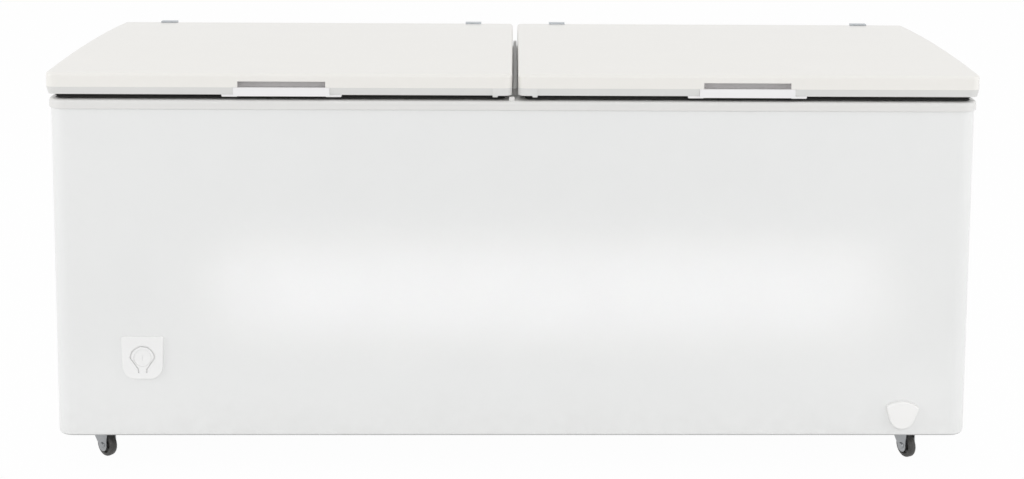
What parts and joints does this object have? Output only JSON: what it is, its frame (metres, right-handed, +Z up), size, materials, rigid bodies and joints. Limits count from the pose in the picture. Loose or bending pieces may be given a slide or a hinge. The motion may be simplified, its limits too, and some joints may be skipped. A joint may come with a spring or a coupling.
{
  "type": "chest freezer",
  "caption": "Wide chest freezer with side-by-side crowned lift-up lids, recessed grips, a front thermostat dial, a capped drain outlet and swivel casters.",
  "frame": {"origin": "on the floor, under the middle of the outer box", "axes": "+Z up, +X to the right of someone facing the front, front faces -Y"},
  "size_m": [2, 0.76, 0.8894],
  "materials": {
    "cabinet_paint": "satin",
    "galvanised_steel": "satin",
    "liner_sheet": "satin",
    "rigid_foam": "matte",
    "frame_plastic": "satin",
    "cover_paint": "satin",
    "plated_steel": "satin",
    "black_plastic": "matte",
    "compressor_paint": "satin",
    "grommet_rubber": "matte",
    "copper": "satin",
    "control_plastic": "satin",
    "switch_plastic": "matte",
    "drain_plastic": "satin",
    "hinge_steel": "satin",
    "lid_plastic": "satin",
    "tray_plastic": "satin",
    "gasket_rubber": "matte",
    "handle_plastic": "satin",
    "pocket_plastic": "satin",
    "wheel_rubber": "matte"
  },
  "bodies": {
    "cabinet": {"outer_shell": "cabinet_paint", "back_panel": "cabinet_paint", "base_pan": "galvanised_steel", "inner_liner": "liner_sheet", "insulation_foam": "rigid_foam", "top_frame": "frame_plastic", "centre_divider": "frame_plastic", "machine_bulkhead": "galvanised_steel", "machine_cover": "cover_paint", "machine_cover_screws": "plated_steel", "cord_gland": "black_plastic", "compressor_shell": "compressor_paint", "compressor_mount": "compressor_paint", "compressor_grommets": "grommet_rubber", "relay_cover": "black_plastic", "suction_tube": "copper", "discharge_tube": "copper", "filter_drier": "copper", "thermostat_plate": "control_plastic", "thermostat_body": "switch_plastic", "drain_tube": "drain_plastic", "drain_spout": "drain_plastic", "left_hinge_brackets": "hinge_steel", "right_hinge_brackets": "hinge_steel", "hinge_pins": "plated_steel", "hinge_screws": "plated_steel", "caster_plates": "plated_steel", "caster_bolts": "plated_steel"},
    "left_lid": {"left_lid_skin": "lid_plastic", "left_lid_liner": "tray_plastic", "left_lid_foam": "rigid_foam", "left_lid_gasket": "gasket_rubber", "left_lid_handle": "handle_plastic", "left_lid_pocket": "pocket_plastic", "left_hinge_leaves": "hinge_steel"},
    "right_lid": {"right_lid_skin": "lid_plastic", "right_lid_liner": "tray_plastic", "right_lid_foam": "rigid_foam", "right_lid_gasket": "gasket_rubber", "right_lid_handle": "handle_plastic", "right_lid_pocket": "pocket_plastic", "right_hinge_leaves": "hinge_steel"},
    "thermostat_dial": {"thermostat_knob": "control_plastic"},
    "drain_cover": {"drain_cap": "drain_plastic"},
    "drain_stopper": {"drain_plug": "drain_plastic"},
    "front_left_swivel": {"front_left_caster_fork": "plated_steel", "front_left_caster_axle": "plated_steel"},
    "front_left_wheel": {"front_left_caster_wheel": "wheel_rubber"},
    "front_right_swivel": {"front_right_caster_fork": "plated_steel", "front_right_caster_axle": "plated_steel"},
    "front_right_wheel": {"front_right_caster_wheel": "wheel_rubber"},
    "rear_left_swivel": {"rear_left_caster_fork": "plated_steel", "rear_left_caster_axle": "plated_steel"},
    "rear_left_wheel": {"rear_left_caster_wheel": "wheel_rubber"},
    "rear_right_swivel": {"rear_right_caster_fork": "plated_steel", "rear_right_caster_axle": "plated_steel"},
    "rear_right_wheel": {"rear_right_caster_wheel": "wheel_rubber"}
  },
  "joints": [
    {"name": "left_lid_hinge", "type": "hinge", "parent": "cabinet", "child": "left_lid", "pos_m": [-0.503, 0.372, 0.845], "axis": [-1, 0, 0], "range_deg": [0, 95]},
    {"name": "right_lid_hinge", "type": "hinge", "parent": "cabinet", "child": "right_lid", "pos_m": [0.503, 0.372, 0.845], "axis": [-1, 0, 0], "range_deg": [0, 95]},
    {"name": "thermostat_turn", "type": "hinge", "parent": "cabinet", "child": "thermostat_dial", "pos_m": [-0.803, -0.371, 0.256], "axis": [0, 1, 0], "range_deg": [0, 300]},
    {"name": "drain_cap_pull", "type": "slide", "parent": "cabinet", "child": "drain_cover", "axis": [0, -1, 0], "range_m": [0, 0.08]},
    {"name": "drain_plug_lift", "type": "slide", "parent": "cabinet", "child": "drain_stopper", "axis": [0, 0, 1], "range_m": [0, 0.06]},
    {"name": "front_left_swivel_turn", "type": "hinge", "parent": "cabinet", "child": "front_left_swivel", "pos_m": [-0.924, -0.271, 0.06], "axis": [0, 0, 1], "continuous": true},
    {"name": "front_left_wheel_roll", "type": "hinge", "parent": "front_left_swivel", "child": "front_left_wheel", "pos_m": [-0.90561, -0.28643, 0.027], "axis": [0.6428, 0.766, 0], "continuous": true},
    {"name": "front_right_swivel_turn", "type": "hinge", "parent": "cabinet", "child": "front_right_swivel", "pos_m": [0.873, -0.271, 0.06], "axis": [0, 0, 1], "continuous": true},
    {"name": "front_right_wheel_roll", "type": "hinge", "parent": "front_right_swivel", "child": "front_right_wheel", "pos_m": [0.88276, -0.29293, 0.027], "axis": [0.9135, 0.4067, 0], "continuous": true},
    {"name": "rear_left_swivel_turn", "type": "hinge", "parent": "cabinet", "child": "rear_left_swivel", "pos_m": [-0.924, 0.26, 0.06], "axis": [0, 0, 1], "continuous": true},
    {"name": "rear_left_wheel_roll", "type": "hinge", "parent": "rear_left_swivel", "child": "rear_left_wheel", "pos_m": [-0.90561, 0.24457, 0.027], "axis": [0.6428, 0.766, 0], "continuous": true},
    {"name": "rear_right_swivel_turn", "type": "hinge", "parent": "cabinet", "child": "rear_right_swivel", "pos_m": [0.873, 0.26, 0.06], "axis": [0, 0, 1], "continuous": true},
    {"name": "rear_right_wheel_roll", "type": "hinge", "parent": "rear_right_swivel", "child": "rear_right_wheel", "pos_m": [0.88276, 0.23807, 0.027], "axis": [0.9135, 0.4067, 0], "continuous": true}
  ]
}
